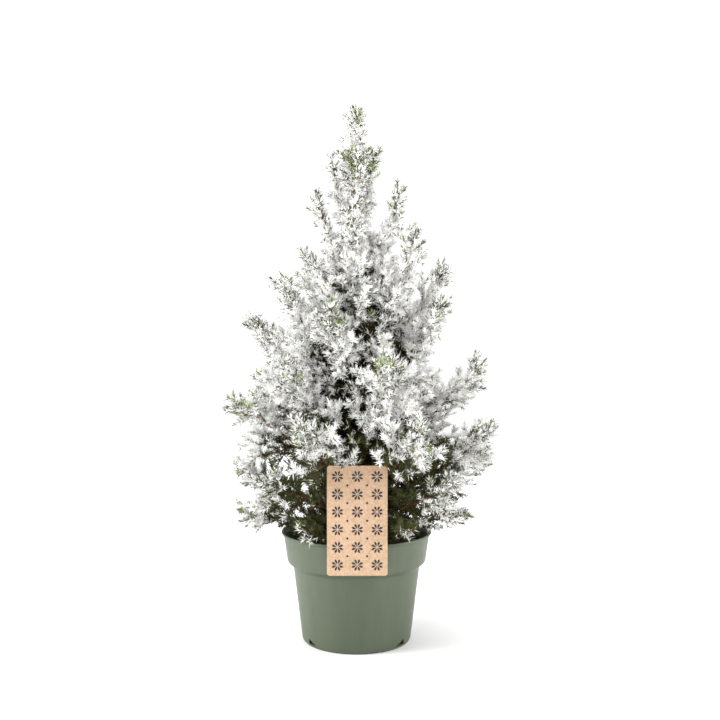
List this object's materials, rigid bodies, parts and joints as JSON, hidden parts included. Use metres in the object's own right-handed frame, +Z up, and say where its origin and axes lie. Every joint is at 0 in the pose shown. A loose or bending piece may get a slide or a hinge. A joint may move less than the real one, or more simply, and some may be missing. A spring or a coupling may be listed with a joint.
{
  "type": "potted dwarf spruce",
  "caption": "Dwarf Alberta spruce dusted with snow in a round plastic nursery pot, with a kraft card label clipped on the rim.",
  "frame": {"origin": "middle of the pot's flat underside", "axes": "+Z up along the trunk; the label faces -Y; +X is to the right seen from the label's side"},
  "size_m": [0.3502, 0.3283, 0.6755],
  "materials": {
    "pot": "satin sage green plastic",
    "soil": "moist dark potting compost",
    "label": "uncoated kraft card",
    "bark": "rough brown bark",
    "foliage": "needles dusted with snow"
  },
  "bodies": {
    "root": {"pot": "pot", "soil": "soil", "label": "label", "trunk": "bark", "bough_low_1": "bark", "bough_low_2": "bark", "bough_low_3": "bark", "bough_low_4": "bark", "bough_low_5": "bark", "mass_skirt_1": "foliage", "mass_skirt_2": "foliage", "mass_skirt_3": "foliage", "mass_skirt_4": "foliage", "mass_skirt_5": "foliage", "mass_skirt_6": "foliage", "mass_low_1": "foliage", "mass_low_2": "foliage", "mass_low_3": "foliage", "mass_low_4": "foliage", "mass_low_5": "foliage", "mass_inner_1": "foliage", "mass_heart_1": "foliage", "mass_heart_2": "foliage", "mass_heart_3": "foliage", "mass_heart_4": "foliage", "mass_heart_5": "foliage", "mass_heart_6": "foliage", "mass_heart_7": "foliage", "mass_heart_8": "foliage", "mass_middle_1": "foliage", "mass_middle_2": "foliage", "mass_middle_3": "foliage", "mass_middle_4": "foliage", "mass_middle_5": "foliage", "mass_middle_6": "foliage", "mass_waist_1": "foliage", "mass_waist_2": "foliage", "mass_waist_3": "foliage", "mass_waist_4": "foliage", "mass_waist_5": "foliage", "mass_upper_1": "foliage", "mass_upper_2": "foliage", "mass_upper_3": "foliage", "mass_upper_4": "foliage", "mass_upper_5": "foliage", "mass_top_1": "foliage", "mass_top_2": "foliage", "mass_top_3": "foliage", "mass_top_4": "foliage", "mass_top_5": "foliage", "mass_shoulder_1": "foliage", "mass_shoulder_2": "foliage", "mass_shoulder_3": "foliage", "mass_shoulder_4": "foliage", "mass_neck_1": "foliage", "mass_neck_2": "foliage", "mass_neck_3": "foliage", "mass_neck_4": "foliage", "mass_leader": "foliage"}
  },
  "joints": []
}
